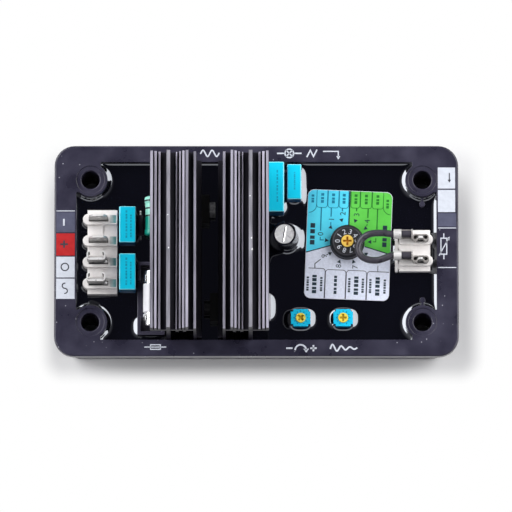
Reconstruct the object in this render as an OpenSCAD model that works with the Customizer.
// Automatic voltage regulator: a potted circuit in a moulded tray with a mounting boss in each corner.
// X runs along the tray, Y across it, and Z up from the underside to the rim and the heat sinks.

/* [Tray] */
// Length of the rim
tray_x = 140; // [126:1:156]
// Height from the underside to the rim
tray_h = 24; // [20:1:32]
// Corner radius of the rim
rim_r = 7; // [4:0.5:9]
// Flat land along the short sides
land_x = 7.6; // [6.5:0.1:8.2]
// Flat land along the long sides
land_y = 5.8; // [5:0.1:6.3]
// Thickness of the overhanging flange
flange_t = 3; // [2:0.1:5]
// Rounding of the flange's upper edge
flange_round = 0.7; // [0.2:0.1:1.5]
// Thickness of the side walls
wall = 3; // [1.5:0.1:3.5]
// Thickness of the floor
floor_t = 2.5; // [1.5:0.1:4]
// Chamfer round the underside
foot_chamfer = 1; // [0.3:0.1:1.4]

/* [Mounting holes] */
// From the rim's short side to a hole's middle
hole_inset_x = 12.5; // [12:0.1:13.5]
// From the rim's long side to a hole's middle
hole_inset_y = 12; // [11:0.1:13]
// Diameter of a hole
hole_d = 6.2; // [4.2:0.1:6.6]
// Chamfer at the mouth of a hole
hole_chamfer = 0.3; // [0.1:0.1:0.8]
// Outside diameter of a boss
boss_d = 11.8; // [10:0.1:13]
// Width of the raised ring round a boss
boss_ring = 1; // [0.6:0.1:1.4]
// Depth of the seat inside that ring
boss_seat = 0.3; // [0.2:0.1:1]
// Length of the rib on each right-hand boss
rib_l = 2.2; // [1:0.1:4]
// Thickness of that rib
rib_t = 0.9; // [0.6:0.1:1.5]
// Height of that rib above the resin
rib_rise = 1.6; // [0.5:0.1:3]
// Diameter of the pip at the rib's end
pip_d = 2; // [1.4:0.1:2.6]

/* [Potting and board] */
// Drop from the rim to the resin
resin_drop = 4; // [2:0.5:6]
// Thickness of the circuit board
board_t = 1.6; // [0.8:0.1:2.4]
// Gap under the board
board_gap = 3.5; // [2:0.5:5]
// Gap round the board
board_margin = 1.2; // [0.6:0.1:3]

/* [Heat sinks] */
// Length of an extrusion
sink_l = 62; // [54:0.2:70]
// Gap from an extrusion's end to the tray's wall
sink_end_gap = 0.2; // [0.1:0.1:2]
// Shift of the pair towards the back wall
sink_shift_y = 0.1; // [0:0.1:0.2]
// Gap from the fuse holder to the left sink's stem
sink_side_gap = 0.6; // [0.4:0.1:1.4]
// Gap between the two plates
sink_gap = 9.1; // [8:0.1:12]
// Height of the tallest fins above the resin
sink_rise = 28; // [18:0.5:32]
// Thickness of the upright plate
plate_t = 1; // [0.8:0.1:2]
// Drop of the plate's top below the tallest fins
plate_drop = 2.8; // [1:0.1:4]
// Depth of the gaps between the fins
fin_depth = 5; // [4:0.1:8]
// Thickness of the web under the fins
web_t = 2; // [1.2:0.1:3]
// Thickness of the central stem
stem_t = 1.4; // [1:0.1:2]
// Place of the stem's centre from the plate's face
stem_u = 9.6; // [9:0.1:10]
// Place of the first inner fin from the plate's face
inner_fin_u = 3.2; // [2.6:0.05:3.4]
// Pitch of the inner fins
inner_pitch = 1.2; // [1.1:0.05:1.3]
// Number of inner fins
inner_fins = 4; // [2:1:4]
// Place of the outermost fin from the plate's face
outer_fin_u = 15.4; // [14.8:0.1:16]
// Pitch of the outer fins
outer_pitch = 1.35; // [1.2:0.05:1.5]
// Number of outer fins
outer_fins = 3; // [1:1:3]
// Thickness of the first fin in a group
fin_t = 1.05; // [0.7:0.05:1.1]
// Thinning from one fin to the next
fin_thinning = 0.15; // [0:0.01:0.15]
// Drop from one fin to the next
fin_step = 1.3; // [0.5:0.1:1.4]
// Reach of the ledge on the plate's inner face
ledge_reach = 1.7; // [1:0.1:2.4]
// Thickness of the ledge and of its lip
ledge_t = 0.9; // [0.6:0.1:1.4]
// Height of the ledge above the resin
ledge_rise = 7; // [6.6:0.1:9]
// Outside diameter of the screw channel in the web
channel_d = 3.8; // [3:0.1:4.6]
// Bore of the screw channel
channel_bore = 2.1; // [1.6:0.1:2.4]

/* [Power devices] */
// Width of a device along the plate
device_w = 10; // [8:0.5:14]
// Thickness of a device
device_t = 4.5; // [3:0.1:4.6]
// Height of a device above the resin
device_rise = 5.4; // [5:0.1:5.6]
// Gap between a device and the board
device_lift = 2; // [1:0.1:3]
// From the sink's back end to the transistor's middle
transistor_inset = 16.6; // [8:0.1:24]
// From the sink's front end to the diode's middle
diode_inset = 10.9; // [8:0.1:24]
// Thread diameter of a device screw
screw_d = 3; // [2.5:0.1:3]
// Head diameter of a device screw
screw_head_d = 5.4; // [4.5:0.1:5.6]
// Head height of a device screw
screw_head_h = 2; // [1.2:0.1:2.4]
// Width of a nut across its flats
nut_af = 5.4; // [4.5:0.1:5.5]
// Thickness of a nut
nut_t = 2.4; // [1.6:0.1:2.6]

/* [Input terminals] */
// Pitch of the terminal ways
way_pitch = 7.5; // [7:0.1:8]
// Number of input ways
input_ways = 4; // [2:1:4]
// Middle of the input ways across the tray
input_mid_y = -0.3; // [-1.5:0.1:1.5]
// Gap from the tray's wall to the input block
input_wall_gap = 3.9; // [3:0.1:4.4]
// Width of the input block's base
block_w = 10.3; // [9.4:0.1:10.6]
// Base left past the outermost ways
block_end = 3.5; // [2.6:0.1:3.8]
// Height of a block's base above the resin
block_rise = 3; // [1.5:0.1:4]
// Height of a ridge above the base
ridge_h = 2; // [1:0.1:3]
// Width of a ridge
ridge_w = 3.7; // [3.2:0.1:4.4]
// Reach of a ridge's round end past the base
ridge_reach = 1.6; // [1:0.1:2.2]
// Width of the slot that a tab stands in
slot_w = 1.7; // [1.2:0.1:2.2]
// Spare length of the slot
slot_spare = 0.5; // [0.3:0.1:0.9]
// Depth of the slot
slot_depth = 9; // [6:0.5:11]
// Side of the small window in a ridge
window_w = 2.3; // [1.6:0.1:2.4]
// Depth of that window
window_depth = 0.6; // [0.3:0.1:1.2]
// Length of the raised pad between two ways
pad_l = 5; // [3:0.1:7]
// Height of that pad
pad_h = 0.4; // [0.2:0.1:1]
// Thickness of a tab
tab_t = 0.8; // [0.5:0.1:1]
// Width of an input tab
input_tab_w = 6.3; // [4.8:0.1:6.3]
// Height of a plain tab above its ridge
tab_rise = 8; // [5:0.1:9]
// Height of the taper at a tab's tip
tab_taper = 2.6; // [1:0.1:3]
// Width taken off each side of a tab's tip
tab_narrow = 1.3; // [0.5:0.1:1.5]
// Diameter of the hole in a tab
tab_hole_d = 1.7; // [1:0.1:2]
// Height of a rolled tab above its ridge
roll_rise = 6.6; // [4:0.1:8]
// Outside radius of a rolled tab's curls
roll_r = 1.05; // [0.8:0.05:1.3]
// Sheet thickness of the curls
roll_t = 0.45; // [0.3:0.05:0.6]
// Distance between the curls' middles
roll_pitch = 4.4; // [3.4:0.1:4.6]
// Reach of the curls from the tab
roll_reach = 1.1; // [0.4:0.1:1.4]
// Shift of the rolled part towards the tray's wall
roll_shift = 0.7; // [0:0.1:0.8]

/* [Link terminals] */
// Middle of the link ways across the tray
link_mid_y = 0.2; // [-1:0.1:1.5]
// Gap from the tray's wall to the link block
link_wall_gap = 1.3; // [1:0.1:3]
// Width of the link block's base
link_block_w = 10.8; // [9.4:0.1:11]
// Reach of a link ridge's round end past the base
link_reach = 0.9; // [0.4:0.1:1.6]
// Plastic left between a link slot and the base's outer side
link_slot_gap = 1.2; // [0.8:0.1:2]
// Width of the lip along the link block
lip_w = 1; // [0.6:0.1:1.2]
// Gap between the lip's teeth and the base
lip_gap = 0.4; // [0.2:0.1:0.6]
// Drop of the lip below the base
lip_drop = 0.8; // [0.4:0.1:1.4]
// Width of a link tab
link_tab_w = 4; // [3.6:0.1:4.8]
// Sheet thickness of a receptacle
sheet_t = 0.45; // [0.3:0.05:0.5]
// Outside radius of a receptacle's curls
curl_r = 1.1; // [1.05:0.05:1.3]
// Height of a receptacle above its ridge
receptacle_rise = 4.6; // [4:0.1:5]
// Length of the crimp sleeve
crimp_l = 2.7; // [2:0.1:3.4]
// Bare insulation between the sleeve and the receptacle
crimp_gap = 3.4; // [2:0.1:4]

/* [Link wire] */
// Diameter of the link wire
wire_d = 2.4; // [1.6:0.1:2.4]
// Reach of the wire's loop from the crimps
loop_l = 12.2; // [10:0.1:13]

/* [Film capacitors] */
// Width of a suppression capacitor
supp_cap_w = 5.8; // [4.5:0.1:5.8]
// Length of a suppression capacitor
supp_cap_l = 12.8; // [10:0.1:13]
// Height of a suppression capacitor above the resin
supp_cap_rise = 7; // [4:0.1:9]
// Gap from the input block to the suppression capacitors
supp_cap_gap = 0.7; // [0.3:0.1:0.8]
// Middle of the upper suppression capacitor
supp_upper_y = 8.8; // [7:0.1:10]
// Middle of the lower suppression capacitor
supp_lower_y = -7.8; // [-9:0.1:-6]
// Width of the large filter capacitor
large_cap_w = 7.4; // [5:0.1:7.5]
// Length of the large filter capacitor
large_cap_l = 17.6; // [14:0.1:18]
// Height of the large filter capacitor above the resin
large_cap_rise = 9; // [5:0.1:11]
// Width of the small filter capacitor
small_cap_w = 5; // [4:0.1:6]
// Length of the small filter capacitor
small_cap_l = 12.4; // [10:0.1:14]
// Height of the small filter capacitor above the resin
small_cap_rise = 6.5; // [4:0.1:9]
// Gap between the two filter capacitors
filter_gap = 1; // [0.5:0.1:2]
// Gap from the back wall to the filter capacitors
filter_wall_gap = 1.1; // [0.8:0.1:1.6]
// How much nearer to the wall the large one stands
filter_step = 0.4; // [0:0.1:0.6]
// Gap from the right heat sink's stem to the large capacitor
filter_sink_gap = 3.5; // [2:0.1:4]
// Edge rounding of a capacitor box
cap_round = 0.45; // [0.2:0.05:0.8]

/* [Electrolytic capacitor] */
// Diameter over the sleeve
elec_d = 8; // [6:0.1:8.2]
// Length of the can
elec_l = 23; // [18:0.5:25]
// Lean towards the heat sinks, in degrees
elec_lean = 5.5; // [0:0.5:6]
// Thickness of the sleeve
sleeve_t = 0.2; // [0.1:0.05:0.4]
// From the large capacitor's side to its foot's middle
elec_step = 2.3; // [2:0.1:3]
// Place of its foot across the tray
elec_y = 4.7; // [3:0.1:6]
// Width of the scored lines on its top
score_w = 0.35; // [0.2:0.05:0.6]
// Depth of the scored lines
score_depth = 0.2; // [0.1:0.05:0.4]

/* [Axial parts] */
// Diameter of the sensing resistor's ends
sense_d = 4.8; // [3.6:0.1:5]
// Waist of the sensing resistor, taken off its radius
sense_waist = 0.3; // [0.1:0.05:0.6]
// Length of the sensing resistor
sense_l = 13.8; // [10:0.1:14]
// Gap between the sensing resistor and the clamp diode
sense_side_gap = 0.2; // [0.1:0.1:0.8]
// Middle of the sensing resistor across the tray
sense_y = 12.3; // [11:0.1:14]
// Diameter of the clamp diode
clamp_d = 2.3; // [1.6:0.1:2.4]
// Length of the clamp diode
clamp_l = 7.2; // [5:0.1:8]
// Gap between the clamp diode and the suppression capacitors
clamp_gap = 0.4; // [0.2:0.1:0.8]
// Middle of the clamp diode across the tray
clamp_y = 9.5; // [8:0.1:11]
// Diameter of the snubber resistor
snub_d = 5.4; // [4:0.1:5.6]
// Length of the snubber resistor
snub_l = 9.4; // [8:0.1:12]
// Gap from the right heat sink's stem to the snubber resistor
snub_sink_gap = 0.9; // [0.5:0.1:3]
// Gap from the front wall to the snubber resistor
snub_wall_gap = 7; // [4:0.1:9]
// Depth to which the diode and the snubber sit in the resin
axial_sink = 0.8; // [0.4:0.1:1.1]
// Gap under the sensing resistor
sense_gap = 0.4; // [0.1:0.1:1]
// Diameter of the leads
lead_d = 0.7; // [0.5:0.05:0.9]
// Straight lead before the bend
lead_out = 1.3; // [0.8:0.1:1.6]

/* [Fuse] */
// Gap between the fuse holder and the suppression capacitors
holder_side_gap = 0.5; // [0.2:0.1:0.8]
// Gap from the front wall to the fuse holder
holder_wall_gap = 1.6; // [0.8:0.1:2]
// Length of the fuse over its caps
fuse_l = 19.8; // [18:0.1:20.2]
// Diameter of the ceramic tube
tube_d = 5.6; // [5:0.1:5.6]
// Diameter of the end caps
cap_d = 4.7; // [4.2:0.1:4.9]
// Length of an end cap
cap_l = 4.9; // [4:0.1:5.4]
// Height of the fuse's axis above the resin
fuse_rise = 4.3; // [4.1:0.1:5]
// Width of the holder
holder_w = 9.6; // [9:0.1:9.6]
// Length of the holder
holder_l = 25.6; // [24:0.1:25.8]
// Height of the holder's bed above the resin
bed_rise = 1.2; // [0.6:0.1:1.3]
// Height of the end cheeks above the bed
cheek_h = 3.6; // [2.4:0.1:5]
// Thickness of the end cheeks
cheek_t = 1.2; // [0.8:0.1:1.6]
// Length of the side cheeks
cheek_l = 6.6; // [4:0.1:7]
// Thickness of a clip's strip
clip_t = 0.4; // [0.3:0.05:0.5]
// Width of a clip
clip_w = 2.4; // [1.6:0.1:2.8]
// Half angle of a clip's mouth, in degrees
clip_mouth = 42; // [30:1:50]

/* [Selector and label] */
// Place of the selector from the label's middle, along the tray
selector_off_x = -0.4; // [-1:0.1:1]
// Place of the selector across the tray
selector_y = 3.5; // [3:0.1:4]
// Diameter of the selector's dial
dial_d = 11.6; // [10:0.1:11.6]
// Height of the dial above the resin
dial_rise = 3.6; // [2.5:0.1:3.8]
// Chamfer round the dial
dial_chamfer = 0.6; // [0.2:0.1:1]
// Side of the selector's housing
housing_w = 10; // [8:0.1:10]
// Diameter of the selector's rotor
selector_rotor_d = 4.2; // [3.4:0.1:4.4]
// Gap between the label and the electrolytic capacitor's foot
label_elec_gap = 1.3; // [1:0.1:3]
// Gap between the label and the link block's lip
label_lip_gap = 1.4; // [1.2:0.1:3]
// Gap between the label and the trimmers
label_trimmer_gap = 4; // [2:0.1:6]
// Gap between the label and the back wall
label_back_gap = 9.4; // [6:0.1:12]
// Thickness of the setting label
label_t = 0.25; // [0.1:0.05:0.4]
// Corner radius of the label
label_r = 2.2; // [1:0.1:3]
// Turn of the label, in degrees
label_turn = -2.3; // [-3:0.1:3]

/* [Trimmers] */
// Width of a trimmer
trimmer_w = 6.8; // [6:0.1:7]
// Depth of a trimmer
trimmer_d = 6.1; // [5.6:0.1:6.4]
// Height of a trimmer above the resin
trimmer_rise = 4.2; // [3:0.1:6]
// Side of the notch in a trimmer's corners
trimmer_notch = 0.8; // [0.4:0.1:1]
// Gap from the front wall to the trimmers
trimmer_wall_gap = 4.6; // [3:0.1:6]
// Gap between the snubber resistor and the voltage trimmer
trimmer_snub_gap = 6.9; // [3:0.1:9]
// Distance between the trimmers
trimmer_pitch = 14.7; // [9:0.1:16]
// Diameter of a trimmer's rotor
trimmer_rotor_d = 3.4; // [3:0.1:4]

/* [Rotors] */
// Height of a rotor
rotor_h = 1.6; // [1.2:0.1:2]
// Height of a rotor above its housing
rotor_proud = 0.4; // [0.1:0.1:0.8]
// Diameter of a rotor's spindle
spindle_d = 1.6; // [1.2:0.1:2]
// Length of a rotor's spindle
spindle_l = 1.8; // [1:0.1:3]
// Width of the cross slot
cross_w = 0.7; // [0.4:0.05:0.9]
// Depth of the cross slot
cross_depth = 0.8; // [0.4:0.1:1]
// Length of the cross slot as a share of the rotor's diameter
cross_share = 0.72; // [0.5:0.01:0.8]
// Radial clearance of a rotor
rotor_clear = 0.05; // [0.02:0.01:0.1]
// Clearance under a rotor
rotor_float = 0.1; // [0.05:0.05:0.3]

/* [Hidden] */
$fn = 48;
eps = 0.01;

// Heights
resin_z = tray_h - resin_drop;
board_z = floor_t + board_gap;
board_top = board_z + board_t;
base_z = resin_z + block_rise;
ridge_z = base_z + ridge_h;
sink_top = resin_z + sink_rise;
web_top = sink_top - fin_depth;
web_low = web_top - web_t;
ledge_z = resin_z + ledge_rise;
device_top = resin_z + device_rise;
device_low = board_top + device_lift;
fuse_z = resin_z + fuse_rise;
bed_z = resin_z + bed_rise;
dial_z = resin_z + dial_rise;
trimmer_z = resin_z + trimmer_rise;

// The tray's inside and the resin's outline
cavity_x = tray_x - 2 * land_x;
cavity_y = sink_l + 2 * sink_end_gap;
tray_y = cavity_y + 2 * land_y;
hole_dx = tray_x - 2 * hole_inset_x;
hole_dy = tray_y - 2 * hole_inset_y;
body_x = cavity_x + 2 * wall;
body_y = cavity_y + 2 * wall;
body_r = max(foot_chamfer + 0.5, rim_r - min(tray_x - body_x, tray_y - body_y) / 2);
// Where the filled corner leaves the boss, along X and along Y
fill_x = boss_d * 0.3;
fill_y = boss_d * 0.37;

// Height of the device screws, clear of the resin
screw_z = resin_z + screw_head_d / 2 + 0.2;
screw_clear = 0.1;

// Terminal blocks
input_x = -cavity_x / 2 + input_wall_gap;
input_l = (input_ways - 1) * way_pitch + 2 * block_end;
slot_l = input_tab_w + slot_spare;
slot_x = input_x + 0.4 + slot_l / 2;
link_x = cavity_x / 2 - link_wall_gap;
link_l = way_pitch + 2 * block_end;
link_slot_l = link_tab_w + slot_spare;
link_base_x = link_x - link_reach - link_block_w;
link_slot_x = link_x - link_reach - link_slot_gap - link_slot_l / 2;
tab_foot_z = ridge_z - slot_depth;

// Link receptacles and the wire between them
curl_gap = 0.05;
crimp_lift = wire_d * 0.58;
curl_x = link_tab_w / 2 - 0.2;
crimp_y = wire_d * 0.54;
wire_z = ridge_z + crimp_lift + wire_d / 2;
wire_clear = 0.05;
crimp_r = wire_d / 2 + wire_clear + sheet_t;
wire_end_x = link_slot_x - curl_x - curl_r - 0.3;
crimp_x = wire_end_x - crimp_gap - crimp_l;

// Parts beside the input block, from left to right, and the left heat sink
supp_cap_x = input_x + block_w + supp_cap_gap + supp_cap_w / 2;
supp_side_x = supp_cap_x + supp_cap_w / 2;
clamp_x = supp_side_x + clamp_gap + clamp_d / 2;
sense_x = clamp_x + clamp_d / 2 + sense_side_gap + sense_d / 2;
fuse_x = supp_side_x + holder_side_gap + holder_w / 2;
fuse_y = -cavity_y / 2 + holder_wall_gap + holder_l / 2;
plate_left_x = fuse_x + holder_w / 2 + sink_side_gap + stem_u + stem_t / 2;
plate_right_x = plate_left_x + sink_gap;
sink_y_back = sink_l / 2 + sink_shift_y;
transistor_y = sink_y_back - transistor_inset;
diode_y = sink_y_back - sink_l + diode_inset;

// Parts beside the right heat sink
stem_side_x = plate_right_x + stem_u + stem_t / 2;
large_cap_x = stem_side_x + filter_sink_gap + large_cap_w / 2;
large_cap_y = cavity_y / 2 - filter_wall_gap + filter_step - large_cap_l / 2;
small_cap_x = large_cap_x + large_cap_w / 2 + filter_gap + small_cap_w / 2;
small_cap_y = cavity_y / 2 - filter_wall_gap - small_cap_l / 2;
elec_x = large_cap_x + large_cap_w / 2 + elec_step;
snub_x = stem_side_x + snub_sink_gap + snub_d / 2;
snub_y = -cavity_y / 2 + snub_wall_gap + snub_l / 2;
voltage_x = snub_x + snub_d / 2 + trimmer_snub_gap + trimmer_w / 2;
stability_x = voltage_x + trimmer_pitch;
trimmer_y = -cavity_y / 2 + trimmer_wall_gap + trimmer_d / 2;

// Label between the electrolytic capacitor and the link block, and the selector in it
label_left_x = elec_x + elec_d / 2 + label_elec_gap;
label_right_x = link_base_x - lip_gap - lip_w - label_lip_gap;
label_low_y = trimmer_y + trimmer_d / 2 + label_trimmer_gap;
label_high_y = cavity_y / 2 - label_back_gap;
label_x = label_right_x - label_left_x;
label_y = label_high_y - label_low_y;
label_mid_x = (label_left_x + label_right_x) / 2;
label_mid_y = (label_low_y + label_high_y) / 2;
selector_x = label_mid_x + selector_off_x;

// Axial parts' heights
sense_z = resin_z + sense_gap + sense_d / 2;
clamp_z = resin_z - axial_sink + clamp_d / 2;
snub_z = resin_z - axial_sink + snub_d / 2;

// Link wire's loop as shares: of its reach, of the ways' pitch across, and of its diameter down
loop_shares = [
    [0.31, 0.72, 0.08], [0.56, 0.72, 0.21], [0.76, 0.63, 0.33], [0.92, 0.41, 0.42], [1, 0.13, 0.42],
    [0.99, -0.13, 0.42], [0.89, -0.37, 0.38], [0.7, -0.52, 0.25], [0.46, -0.55, 0.13], [0.24, -0.45, 0]
];
wire_start = [for (x = [wire_end_x, crimp_x + crimp_l, crimp_x - wire_d / 6])
    [x, link_mid_y + way_pitch / 2 + crimp_y, wire_z]];
wire_loop = [for (p = loop_shares)
    [crimp_x - p[0] * loop_l, link_mid_y + p[1] * way_pitch, wire_z - p[2] * wire_d]];
wire_finish = [for (x = [crimp_x - wire_d / 6, crimp_x + crimp_l, wire_end_x])
    [x, link_mid_y - way_pitch / 2 + crimp_y, wire_z]];
wire_route = concat(wire_start, wire_loop, wire_finish);
wire_steps = 4;
wire_sides = 12;

// Shared shapes

// Copies at the four corners of a rectangle
module at_corners(half_x, half_y) {
    for (sx = [-1, 1], sy = [-1, 1]) translate([sx * half_x, sy * half_y, 0]) children();
}

// Flat outline with round corners
module rounded_outline(x, y, r) {
    square([x - 2 * r, y], center = true);
    square([x, y - 2 * r], center = true);
    at_corners(x / 2 - r, y / 2 - r) circle(r);
}

// Box with its upright and upper edges rounded, centred in plan, from z_low to z_high
module soft_box(x, y, z_low, z_high, r) {
    hull() at_corners(x / 2 - r, y / 2 - r) rotate_extrude($fn = 16) {
        translate([0, z_low]) square([r, z_high - r - z_low]);
        translate([0, z_high - r]) intersection() {
            circle(r, $fn = 16);
            square(r);
        }
    }
}

// Box centred in plan, from z_low to z_high
module post(x, y, z_low, z_high) {
    translate([-x / 2, -y / 2, z_low]) cube([x, y, z_high - z_low]);
}

// Rod along Y, centred on its place
module rod_y(d, l) {
    rotate([90, 0, 0]) cylinder(d = d, h = l, center = true);
}

// Rod along X, from the origin towards +X
module rod_x(d, l) {
    rotate([0, 90, 0]) cylinder(d = d, h = l);
}

// Tray and potting

// Inside of the tray: a rectangle less the corner bosses and the fill behind them
module cavity_outline() {
    difference() {
        square([cavity_x, cavity_y], center = true);
        at_corners(hole_dx / 2, hole_dy / 2) circle(d = boss_d);
        for (sx = [-1, 1], sy = [-1, 1]) {
            corner_x = hole_dx / 2 - fill_x;
            corner_y = hole_dy / 2 - fill_y;
            translate([sx > 0 ? corner_x : -tray_x / 2, sy > 0 ? corner_y : -tray_y / 2])
                square([tray_x / 2 - corner_x, tray_y / 2 - corner_y]);
        }
    }
}

// Low rib with a round pip, on each right-hand boss
module boss_ribs() {
    for (sy = [-1, 1]) translate([hole_dx / 2, sy * (hole_dy - boss_d) / 2, floor_t - eps])
        linear_extrude(resin_z + rib_rise - floor_t + eps) {
            translate([-rib_t / 2, sy > 0 ? -rib_l : -boss_ring]) square([rib_t, rib_l + boss_ring]);
            translate([0, -sy * rib_l]) circle(d = pip_d);
        }
}

// One corner of the flange, with its upper edge rounded
module flange_corner() {
    rotate_extrude($fn = 32) {
        square([rim_r, flange_t - flange_round]);
        square([rim_r - flange_round, flange_t]);
        translate([rim_r - flange_round, flange_t - flange_round]) circle(flange_round, $fn = 24);
    }
}

// One corner of the tray's body, with the foot chamfered
module body_corner() {
    rotate_extrude($fn = 32) polygon([
        [0, 0], [body_r - foot_chamfer, 0], [body_r, foot_chamfer],
        [body_r, tray_h - flange_t + eps], [0, tray_h - flange_t + eps]
    ]);
}

module case_tray() {
    color("#1c1c22") difference() {
        union() {
            hull() at_corners(body_x / 2 - body_r, body_y / 2 - body_r) body_corner();
            translate([0, 0, tray_h - flange_t])
                hull() at_corners(tray_x / 2 - rim_r, tray_y / 2 - rim_r) flange_corner();
        }
        difference() {
            translate([0, 0, floor_t]) linear_extrude(tray_h) cavity_outline();
            boss_ribs();
        }
        // Mounting holes with a chamfered mouth in a seat inside the boss's ring
        at_corners(hole_dx / 2, hole_dy / 2) {
            translate([0, 0, -1]) cylinder(d = hole_d, h = tray_h + 2);
            translate([0, 0, tray_h - boss_seat]) cylinder(d = boss_d - 2 * boss_ring, h = 2);
            translate([0, 0, tray_h - boss_seat - hole_chamfer])
                cylinder(d1 = hole_d, d2 = hole_d + 2 * hole_chamfer, h = hole_chamfer + eps);
        }
    }
}

module board_shape() {
    notch_x = cavity_x / 2 - hole_dx / 2 + boss_d / 2 + board_margin;
    notch_y = cavity_y / 2 - hole_dy / 2 + boss_d / 2 + rib_l + pip_d / 2 + board_margin;
    translate([0, 0, board_z]) linear_extrude(board_t) difference() {
        square([cavity_x - 2 * board_margin, cavity_y - 2 * board_margin], center = true);
        at_corners(cavity_x / 2, cavity_y / 2) square([2 * notch_x, 2 * notch_y], center = true);
    }
}

module circuit_board() {
    color("#2f5d3a") board_shape();
}

// Everything that the resin is cast round, down to the board
module cast_pieces() {
    boss_ribs();
    board_shape();
    input_base();
    link_base();
    translate([supp_cap_x, supp_upper_y, 0]) post(supp_cap_w, supp_cap_l, board_top, tray_h);
    translate([supp_cap_x, supp_lower_y, 0]) post(supp_cap_w, supp_cap_l, board_top, tray_h);
    translate([large_cap_x, large_cap_y, 0]) post(large_cap_w, large_cap_l, board_top, tray_h);
    translate([small_cap_x, small_cap_y, 0]) post(small_cap_w, small_cap_l, board_top, tray_h);
    electrolytic_place() cylinder(d = elec_d, h = elec_l);
    sensing_leads();
    clamp_solid();
    snubber_solid();
    holder_bed();
    translate([selector_x, selector_y, 0]) post(housing_w, housing_w, board_top, tray_h);
    for (x = [voltage_x, stability_x])
        translate([x, trimmer_y, 0]) linear_extrude(tray_h) trimmer_outline();
    for (side = [-1, 1]) sink_place(side) sink_legs();
    device_place(-1, transistor_y) device_solid();
    device_place(1, diode_y) device_solid();
}

module potting_resin() {
    color("#131318") difference() {
        translate([0, 0, floor_t]) linear_extrude(resin_z - floor_t) cavity_outline();
        cast_pieces();
    }
}

// Heat sinks and power devices

// Profile coordinates: u outwards from the plate's inner face, and the height
function inner_fin_t(k) = fin_t - k * fin_thinning;
function outer_fin_t(k) = fin_t - k * fin_thinning / 2;

// One fin, flat at its tip
module fin(u, t, top) {
    translate([u - t / 2, web_top - eps]) square([t, top - web_top + eps]);
}

module sink_profile() {
    // Plate, and the stem that carries the web's middle
    translate([0, board_top]) square([plate_t, sink_top - plate_drop - board_top]);
    translate([stem_u - stem_t / 2, board_top]) square([stem_t, web_low - board_top + eps]);
    fin(stem_u, stem_t, sink_top);
    // Web under the fins
    translate([0, web_low]) square([outer_fin_u + fin_t / 2, web_t]);
    for (k = [0 : inner_fins - 1])
        fin(inner_fin_u + k * inner_pitch, inner_fin_t(k), sink_top - k * fin_step);
    for (k = [0 : outer_fins - 1])
        fin(outer_fin_u - k * outer_pitch, outer_fin_t(k), sink_top - (k + 1) * fin_step * 0.9);
    // Ledge with a turned-down lip on the plate's inner face
    translate([-ledge_reach, ledge_z]) square([ledge_reach + eps, ledge_t]);
    translate([-ledge_reach, ledge_z - ledge_t]) square([ledge_t, ledge_t + eps]);
    // Screw channel under the web, beside the plate
    translate([(plate_t + stem_u) / 2, web_low - channel_d * 0.3]) circle(d = channel_d);
}

module sink_bores() {
    translate([(plate_t + stem_u) / 2, web_low - channel_d * 0.3]) {
        circle(d = channel_bore);
        translate([-channel_bore * 0.3, -channel_d]) square([channel_bore * 0.6, channel_d]);
    }
}

// Side -1 is the left sink and side 1 the right one, mirrored about the pair's mid-plane
module sink_place(side) {
    plate_x = side < 0 ? plate_left_x : plate_right_x;
    translate([plate_x, 0, 0]) mirror([side < 0 ? 1 : 0, 0, 0]) children();
}

module sink_legs() {
    translate([0, sink_y_back, 0]) rotate([90, 0, 0]) linear_extrude(sink_l) {
        translate([0, board_top]) square([plate_t, tray_h - board_top]);
        translate([stem_u - stem_t / 2, board_top]) square([stem_t, tray_h - board_top]);
    }
}

module heat_sink(side, device_y) {
    sink_place(side) difference() {
        translate([0, sink_y_back, 0]) rotate([90, 0, 0]) linear_extrude(sink_l) difference() {
            sink_profile();
            sink_bores();
        }
        translate([-1, device_y, screw_z]) rod_x(screw_d + 2 * screw_clear, plate_t + 2);
    }
}

module heat_sink_left() {
    color("#3a3a40") heat_sink(-1, transistor_y);
}

module heat_sink_right() {
    color("#3a3a40") heat_sink(1, diode_y);
}

// A device lies with its back on the plate's inner face, so it reaches towards negative u
module device_place(side, y) {
    sink_place(side) translate([0, y, 0]) children();
}

module device_solid() {
    translate([-device_t, -device_w / 2, device_low])
        cube([device_t, device_w, device_top - device_low]);
    for (k = [-1, 0, 1])
        translate([-device_t / 2, k * device_w / 4, 0])
            post(lead_d, lead_d, board_top, device_low + eps);
}

module power_device() {
    difference() {
        device_solid();
        translate([-device_t - 1, 0, screw_z]) rod_x(screw_d + 2 * screw_clear, device_t + 2);
    }
}

module power_transistor() {
    color("#202022") device_place(-1, transistor_y) power_device();
}

module power_diode() {
    color("#202022") device_place(1, diode_y) power_device();
}

// Pan-head screw from the device's face through the plate
module device_screw() {
    difference() {
        union() {
            translate([-device_t - screw_head_h, 0, screw_z]) rod_x(screw_head_d, screw_head_h);
            translate([-device_t - eps, 0, screw_z]) rod_x(screw_d, device_t + plate_t + nut_t + 0.4);
        }
        for (turn = [0, 90])
            translate([-device_t - screw_head_h, 0, screw_z]) rotate([turn, 0, 0])
                cube([screw_head_h * 0.9, screw_head_d * 0.5, screw_d * 0.2], center = true);
    }
}

module device_screws() {
    color("silver") {
        device_place(-1, transistor_y) device_screw();
        device_place(1, diode_y) device_screw();
    }
}

module device_nut() {
    translate([plate_t, 0, screw_z]) rotate([0, 90, 0]) linear_extrude(nut_t) difference() {
        rotate(30) circle(d = nut_af / cos(30), $fn = 6);
        circle(d = screw_d + screw_clear);
    }
}

module device_nuts() {
    color("silver") {
        device_place(-1, transistor_y) device_nut();
        device_place(1, diode_y) device_nut();
    }
}

// Input terminals

function input_way_y(i) = input_mid_y + ((input_ways - 1) / 2 - i) * way_pitch;

module input_base() {
    translate([input_x, input_mid_y - input_l / 2, board_top])
        cube([block_w, input_l, base_z - board_top]);
}

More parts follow.
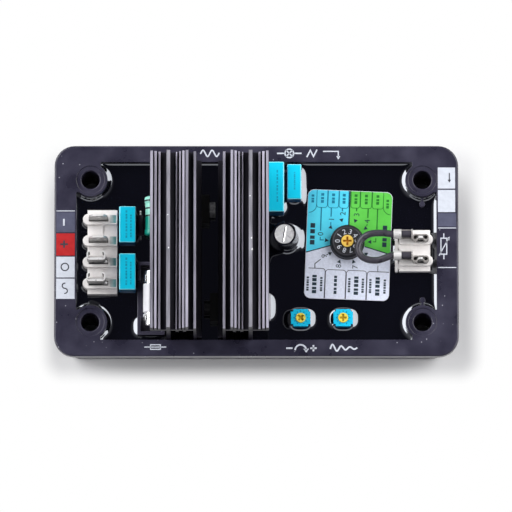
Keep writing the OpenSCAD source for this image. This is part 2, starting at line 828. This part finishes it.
// Raised ridge of one way: round at its free end, with a slot for the tab and a small window
module input_ridge(y) {
    translate([0, y, base_z - eps]) {
        translate([input_x - ridge_reach + ridge_w / 2, -ridge_w / 2, 0])
            cube([block_w + ridge_reach - ridge_w / 2, ridge_w, ridge_h + eps]);
        translate([input_x - ridge_reach + ridge_w / 2, 0, -block_rise + eps])
            cylinder(d = ridge_w, h = ridge_h + block_rise);
    }
}

module input_way_cuts(y) {
    translate([slot_x, y, 0]) post(slot_l, slot_w, tab_foot_z, ridge_z + 1);
    translate([input_x + block_w - window_w / 2 - 0.3, y, 0])
        post(window_w, window_w * 1.2, ridge_z - window_depth, ridge_z + 1);
}

module input_terminal_block() {
    color("ivory") difference() {
        union() {
            input_base();
            for (i = [0 : input_ways - 1]) input_ridge(input_way_y(i));
            for (i = [0 : input_ways - 2])
                translate([input_x + pad_l / 2 + pad_h, input_way_y(i) - way_pitch / 2, 0])
                    post(pad_l, way_pitch - ridge_w - 2 * pad_h, base_z - eps, base_z + pad_h);
        }
        for (i = [0 : input_ways - 1]) input_way_cuts(input_way_y(i));
    }
}

// Flat tab standing in its slot, tapered at the tip, with a latching hole
module tab_blade(w, top) {
    translate([0, tab_t / 2, 0]) rotate([90, 0, 0]) linear_extrude(tab_t) difference() {
        polygon([
            [-w / 2, tab_foot_z], [w / 2, tab_foot_z], [w / 2, top - tab_taper],
            [w / 2 - tab_narrow, top], [-w / 2 + tab_narrow, top], [-w / 2, top - tab_taper]
        ]);
        translate([0, top - tab_taper]) circle(d = tab_hole_d);
    }
}

module plain_tab(i) {
    color("silver") translate([slot_x, input_way_y(i), 0]) tab_blade(input_tab_w, ridge_z + tab_rise);
}

// Section of a rolled tab: a back whose edges are bent up and curled towards the middle
module roll_outline() {
    bend_y = roll_r - tab_t / 2;
    curl_y = bend_y + roll_reach;
    translate([-roll_pitch / 2, -tab_t / 2]) square([roll_pitch, tab_t]);
    for (side = [-1, 1]) {
        for (y = [bend_y, curl_y]) translate([side * roll_pitch / 2, y]) intersection() {
            difference() {
                circle(roll_r);
                circle(roll_r - roll_t);
            }
            translate([side > 0 ? 0 : -roll_r, y > bend_y ? 0 : -roll_r]) square(roll_r);
        }
        arm_x = roll_pitch / 2 + roll_r - (side > 0 ? roll_t : 0);
        translate([side * arm_x, bend_y - eps]) square([roll_t, roll_reach + 2 * eps]);
    }
}

// Tab rolled at both edges above its ridge
module rolled_tab(i) {
    color("silver") translate([slot_x, input_way_y(i), 0]) {
        post(input_tab_w, tab_t, tab_foot_z, ridge_z + eps);
        translate([-roll_shift, 0, ridge_z]) linear_extrude(roll_rise) roll_outline();
    }
}

module excitation_negative_tab() {
    plain_tab(0);
}

module excitation_positive_tab() {
    plain_tab(1);
}

module supply_zero_tab() {
    rolled_tab(input_ways - 2);
}

module supply_live_tab() {
    rolled_tab(input_ways - 1);
}

// Link terminals

function link_way_y(side) = link_mid_y + side * way_pitch / 2;

module link_base() {
    lip_x = link_base_x - lip_gap - lip_w;
    lip_z = base_z - lip_drop;
    translate([link_base_x, link_mid_y - link_l / 2, board_top])
        cube([link_block_w, link_l, base_z - board_top]);
    // Lip along the block's inner side, on a shared foot, with teeth between the two
    translate([lip_x, link_mid_y - link_l / 2, board_top]) {
        cube([lip_w, link_l, lip_z - board_top]);
        cube([lip_w + lip_gap + eps, link_l, resin_z - board_top]);
        for (k = [0 : 3])
            translate([0, (k + 0.25) * link_l / 4, 0])
                cube([lip_w + lip_gap + eps, link_l / 8, lip_z - board_top]);
    }
}

module link_ridge(y) {
    translate([0, y, base_z - eps]) {
        translate([link_base_x, -ridge_w / 2, 0])
            cube([link_x - link_base_x - ridge_w / 2, ridge_w, ridge_h + eps]);
        translate([link_x - ridge_w / 2, 0, -block_rise + eps])
            cylinder(d = ridge_w, h = ridge_h + block_rise);
    }
}

module link_terminal_block() {
    color("ivory") difference() {
        union() {
            link_base();
            for (side = [-1, 1]) link_ridge(link_way_y(side));
        }
        for (side = [-1, 1])
            translate([link_slot_x, link_way_y(side), 0])
                post(link_slot_l, slot_w, tab_foot_z, ridge_z + 1);
    }
}

module link_tab(side) {
    color("silver") translate([link_slot_x, link_way_y(side), 0])
        tab_blade(link_tab_w, ridge_z + receptacle_rise);
}

module link_tab_upper() {
    link_tab(1);
}

module link_tab_lower() {
    link_tab(-1);
}

// Section of a receptacle: a back with both edges curled round the tab
module receptacle_outline() {
    back_y = tab_t / 2 + curl_gap;
    curl_y = back_y + sheet_t - curl_r;
    difference() {
        union() {
            translate([-curl_x, back_y]) square([2 * curl_x, sheet_t]);
            for (side = [-1, 1]) translate([side * curl_x, curl_y]) difference() {
                circle(curl_r);
                circle(curl_r - sheet_t);
            }
        }
        // Way for the tab between the back and the curled edges
        translate([-link_tab_w / 2 - curl_gap, -tab_t / 2 - curl_gap])
            square([link_tab_w + 2 * curl_gap, tab_t + 2 * curl_gap]);
    }
}

// Flag receptacle: the curled body, a trough beside it and the closed crimp sleeve at the wire's end
module receptacle(side) {
    back_y = tab_t / 2 + curl_gap;
    color("lightgray") translate([link_slot_x, link_way_y(side), 0]) {
        translate([0, 0, ridge_z + 0.2]) linear_extrude(receptacle_rise) receptacle_outline();
        translate([crimp_x - link_slot_x, crimp_y, wire_z]) difference() {
            rod_x(2 * crimp_r, wire_end_x + 0.6 - crimp_x);
            translate([-1, 0, 0]) rod_x(wire_d + 2 * wire_clear, wire_end_x - crimp_x + 1 + wire_clear);
            translate([crimp_l, -2 * crimp_r, -wire_d * 0.2])
                cube([wire_end_x - crimp_x - crimp_l + wire_clear, 4 * crimp_r, 3 * crimp_r]);
        }
        // Strap from the crimp's closed end to the curled body's back
        strap_x = wire_end_x + 0.3 - link_slot_x;
        translate([strap_x, back_y, wire_z - crimp_r * 0.6])
            cube([-curl_x - strap_x, sheet_t, crimp_r * 1.2]);
    }
}

module link_receptacle_upper() {
    receptacle(1);
}

module link_receptacle_lower() {
    receptacle(-1);
}

// Link wire: a tube swept along a smooth curve through the route's points
function route_point(i) = wire_route[max(0, min(len(wire_route) - 1, i))];
function curve_point(i, t) = 0.5 * (
    2 * route_point(i)
    + (route_point(i + 1) - route_point(i - 1)) * t
    + (2 * route_point(i - 1) - 5 * route_point(i) + 4 * route_point(i + 1) - route_point(i + 2)) * t * t
    + (3 * route_point(i) - route_point(i - 1) - 3 * route_point(i + 1) + route_point(i + 2)) * t * t * t
);
wire_path = concat(
    [for (i = [0 : len(wire_route) - 2], s = [0 : wire_steps - 1]) curve_point(i, s / wire_steps)],
    [route_point(len(wire_route) - 1)]
);
function unit(v) = v / norm(v);
function path_tangent(k) = unit(wire_path[min(k + 1, len(wire_path) - 1)] - wire_path[max(k - 1, 0)]);
function path_side(k) = unit(cross(path_tangent(k), [0, 0, 1]));
function ring_point(k, j) =
    let (a = 360 * j / wire_sides, side = path_side(k), up = cross(side, path_tangent(k)))
    wire_path[k] + wire_d / 2 * (cos(a) * side + sin(a) * up);

module link_wire() {
    rings = len(wire_path);
    points = [for (k = [0 : rings - 1], j = [0 : wire_sides - 1]) ring_point(k, j)];
    skin = [
        for (k = [0 : rings - 2], j = [0 : wire_sides - 1])
            let (n = (j + 1) % wire_sides, a = k * wire_sides, b = a + wire_sides)
            [a + j, a + n, b + n, b + j]
    ];
    start_cap = [[for (j = [wire_sides - 1 : -1 : 0]) j]];
    end_cap = [[for (j = [0 : wire_sides - 1]) (rings - 1) * wire_sides + j]];
    color("#2a2a30") polyhedron(points = points, faces = concat(skin, start_cap, end_cap), convexity = 6);
}

// Film capacitors

module film_capacitor(x, y, w, l, rise) {
    color("#00c3e3") translate([x, y, 0]) soft_box(w, l, board_top, resin_z + rise, cap_round);
}

module suppression_capacitor_upper() {
    film_capacitor(supp_cap_x, supp_upper_y, supp_cap_w, supp_cap_l, supp_cap_rise);
}

module suppression_capacitor_lower() {
    film_capacitor(supp_cap_x, supp_lower_y, supp_cap_w, supp_cap_l, supp_cap_rise);
}

module filter_capacitor_large() {
    film_capacitor(large_cap_x, large_cap_y, large_cap_w, large_cap_l, large_cap_rise);
}

module filter_capacitor_small() {
    film_capacitor(small_cap_x, small_cap_y, small_cap_w, small_cap_l, small_cap_rise);
}

// Electrolytic capacitor, leaning towards the heat sinks

module electrolytic_place() {
    foot_lift = elec_d / 2 * sin(elec_lean) + 0.2;
    translate([elec_x, elec_y, board_top + foot_lift]) rotate([0, -elec_lean, 0]) children();
}

// Can with a scored top and a crimped groove near the foot
module electrolytic_can() {
    can_r = elec_d / 2 - sleeve_t;
    groove_z = elec_l * 0.12;
    groove_r = 0.5;
    color("silver") electrolytic_place() difference() {
        cylinder(r = can_r, h = elec_l - sleeve_t);
        translate([0, 0, groove_z]) rotate_extrude() translate([can_r, 0]) circle(groove_r, $fn = 24);
        for (turn = [20, 80, 140])
            translate([0, 0, elec_l - sleeve_t]) rotate([0, 0, turn])
                cube([can_r * 1.5, score_w, 2 * score_depth], center = true);
    }
}

// Shrunk sleeve, turned over the can's top edge
module electrolytic_sleeve() {
    color("#1b1b20") electrolytic_place() rotate_extrude() {
        translate([elec_d / 2 - sleeve_t, 0]) square([sleeve_t, elec_l]);
        translate([elec_d / 2 - sleeve_t - elec_d * 0.05, elec_l - sleeve_t])
            square([sleeve_t + elec_d * 0.05, sleeve_t]);
    }
}

// Axial parts

// A lead at each end of a body of length l on an axis at height z: out, then down to the board
module axial_leads(l, z) {
    for (side = [-1, 1]) {
        translate([0, side * (l + lead_out) / 2, z]) rod_y(lead_d, lead_out);
        translate([0, side * (l / 2 + lead_out), z]) sphere(d = lead_d, $fn = 24);
        translate([0, side * (l / 2 + lead_out), board_top]) cylinder(d = lead_d, h = z - board_top);
    }
}

module sensing_leads() {
    translate([sense_x, sense_y, 0]) axial_leads(sense_l, sense_z);
}

// Coated body with fuller ends
module sensing_resistor() {
    end_l = sense_d * 0.55;
    end_round = 0.9;
    color("#7fe0c0") {
        translate([sense_x, sense_y, sense_z]) rotate([90, 0, 0]) rotate_extrude() {
            translate([0, -sense_l / 2 + end_round])
                square([sense_d / 2 - sense_waist, sense_l - 2 * end_round]);
            for (side = [-1, 1]) {
                near = side > 0 ? sense_l / 2 - end_l : -sense_l / 2;
                translate([0, near]) square([sense_d / 2 - end_round, end_l]);
                translate([0, near + end_round]) square([sense_d / 2, end_l - 2 * end_round]);
                for (v = [near + end_round, near + end_l - end_round])
                    translate([sense_d / 2 - end_round, v]) circle(end_round, $fn = 24);
            }
        }
        sensing_leads();
    }
}

module clamp_solid() {
    translate([clamp_x, clamp_y, clamp_z]) rod_y(clamp_d, clamp_l);
    translate([clamp_x, clamp_y, 0]) axial_leads(clamp_l, clamp_z);
}

module clamp_diode() {
    color("#5a4a58") clamp_solid();
}

module snubber_solid() {
    translate([snub_x, snub_y, snub_z]) rod_y(snub_d, snub_l);
    translate([snub_x, snub_y, 0]) axial_leads(snub_l, snub_z);
}

module snubber_resistor() {
    color("#8f9094") snubber_solid();
}

// Fuse and its open holder

module holder_bed() {
    translate([fuse_x, fuse_y, 0]) post(holder_w, holder_l, board_top, bed_z);
}

// Bed with a three-sided cheek round each end of the fuse
module fuse_holder() {
    color("#26262b") difference() {
        union() {
            holder_bed();
            for (side = [-1, 1])
                translate([fuse_x, fuse_y + side * (holder_l - cheek_l) / 2, 0])
                    post(holder_w, cheek_l, bed_z - eps, bed_z + cheek_h);
        }
        for (side = [-1, 1])
            translate([fuse_x, fuse_y + side * (holder_l / 2 - cheek_t - holder_l / 4), 0])
                post(holder_w - 2 * cheek_t, holder_l / 2, bed_z, bed_z + cheek_h + 1);
    }
}

function clip_y(side) = fuse_y + side * (fuse_l / 2 - cap_l * 0.62);

// Spring clip: a strip bent round the cap, open at the top, on a foot on the bed
module fuse_clip(side) {
    clip_r = cap_d / 2 + 0.05;
    mouth = 2 * (clip_r + clip_t);
    color("gainsboro") translate([fuse_x, clip_y(side) + clip_w / 2, fuse_z])
        rotate([90, 0, 0]) linear_extrude(clip_w) {
            difference() {
                circle(clip_r + clip_t);
                circle(clip_r);
                polygon([[0, 0], [-mouth * tan(clip_mouth), mouth], [mouth * tan(clip_mouth), mouth]]);
            }
            translate([-clip_r * 0.5, bed_z - fuse_z])
                square([clip_r, fuse_z - bed_z - clip_r - clip_t * 0.3]);
        }
}

module fuse_clip_upper() {
    fuse_clip(1);
}

module fuse_clip_lower() {
    fuse_clip(-1);
}

module fuse_tube() {
    color("white") translate([fuse_x, fuse_y, fuse_z]) rod_y(tube_d, fuse_l - 2 * cap_l);
}

// Drawn end cap with a round rim
module fuse_cap(side) {
    cap_edge = 0.7;
    color("white") translate([fuse_x, fuse_y + side * (fuse_l / 2 - cap_l), fuse_z])
        rotate([side > 0 ? -90 : 90, 0, 0]) rotate_extrude() {
            square([cap_d / 2, cap_l - cap_edge]);
            square([cap_d / 2 - cap_edge, cap_l]);
            translate([cap_d / 2 - cap_edge, cap_l - cap_edge]) circle(cap_edge, $fn = 24);
        }
}

module fuse_cap_upper() {
    fuse_cap(1);
}

module fuse_cap_lower() {
    fuse_cap(-1);
}

// Label, selector and trimmers

module setting_label() {
    label_hole_d = dial_d + 0.4;
    color("lightsteelblue") translate([0, 0, resin_z]) linear_extrude(label_t) difference() {
        translate([label_mid_x, label_mid_y]) rotate(label_turn) rounded_outline(label_x, label_y, label_r);
        translate([selector_x, selector_y]) circle(d = label_hole_d);
    }
}

// Seat of a rotor: its disc's recess and the bore for its spindle
module rotor_seat(d, top) {
    recess_z = top + rotor_proud - rotor_h - rotor_float;
    translate([0, 0, recess_z]) cylinder(d = d + 2 * rotor_clear, h = rotor_h + 1);
    translate([0, 0, recess_z - spindle_l])
        cylinder(d = spindle_d + 2 * rotor_clear, h = spindle_l + 1);
}

// Rotor with a cross slot in its face
module rotor(d, top, turn) {
    rotor_z = top + rotor_proud - rotor_h;
    difference() {
        union() {
            translate([0, 0, rotor_z]) cylinder(d = d, h = rotor_h);
            translate([0, 0, rotor_z - spindle_l]) cylinder(d = spindle_d, h = spindle_l + eps);
        }
        for (arm = [turn, turn + 90])
            translate([0, 0, top + rotor_proud]) rotate([0, 0, arm])
                cube([d * cross_share, cross_w, 2 * cross_depth], center = true);
    }
}

// Square housing in the resin under a round, chamfered dial
module selector_body() {
    color("#1a1a20") translate([selector_x, selector_y, 0]) difference() {
        union() {
            post(housing_w, housing_w, board_top, resin_z);
            // Core that joins the dial to the housing
            translate([0, 0, board_top + board_t])
                cylinder(d = housing_w * 0.8, h = dial_z - board_top - 2 * board_t);
            rotate_extrude() polygon([
                [0, resin_z], [dial_d / 2, resin_z], [dial_d / 2, dial_z - dial_chamfer],
                [dial_d / 2 - dial_chamfer, dial_z], [0, dial_z]
            ]);
        }
        rotor_seat(selector_rotor_d, dial_z);
    }
}

module selector_rotor() {
    color("#f5b830") translate([selector_x, selector_y, 0]) rotor(selector_rotor_d, dial_z, 0);
}

// Stepped outline of a trimmer's housing
module trimmer_outline() {
    square([trimmer_w - 2 * trimmer_notch, trimmer_d], center = true);
    square([trimmer_w, trimmer_d - 2 * trimmer_notch], center = true);
}

module trimmer_body(x) {
    color("#0f9fe0") translate([x, trimmer_y, 0]) difference() {
        translate([0, 0, board_top]) linear_extrude(trimmer_z - board_top) trimmer_outline();
        rotor_seat(trimmer_rotor_d, trimmer_z);
    }
}

module voltage_trimmer_body() {
    trimmer_body(voltage_x);
}

module voltage_trimmer_rotor() {
    color("#f5c030") translate([voltage_x, trimmer_y, 0]) rotor(trimmer_rotor_d, trimmer_z, 45);
}

module stability_trimmer_body() {
    trimmer_body(stability_x);
}

module stability_trimmer_rotor() {
    color("#f5c030") translate([stability_x, trimmer_y, 0]) rotor(trimmer_rotor_d, trimmer_z, 0);
}

case_tray();
potting_resin();
circuit_board();
heat_sink_left();
heat_sink_right();
power_transistor();
power_diode();
device_screws();
device_nuts();
input_terminal_block();
excitation_negative_tab();
excitation_positive_tab();
supply_zero_tab();
supply_live_tab();
link_terminal_block();
link_tab_upper();
link_tab_lower();
link_receptacle_upper();
link_receptacle_lower();
link_wire();
suppression_capacitor_upper();
suppression_capacitor_lower();
filter_capacitor_large();
filter_capacitor_small();
electrolytic_can();
electrolytic_sleeve();
sensing_resistor();
clamp_diode();
snubber_resistor();
fuse_holder();
fuse_clip_upper();
fuse_clip_lower();
fuse_tube();
fuse_cap_upper();
fuse_cap_lower();
setting_label();
selector_body();
selector_rotor();
voltage_trimmer_body();
voltage_trimmer_rotor();
stability_trimmer_body();
stability_trimmer_rotor();
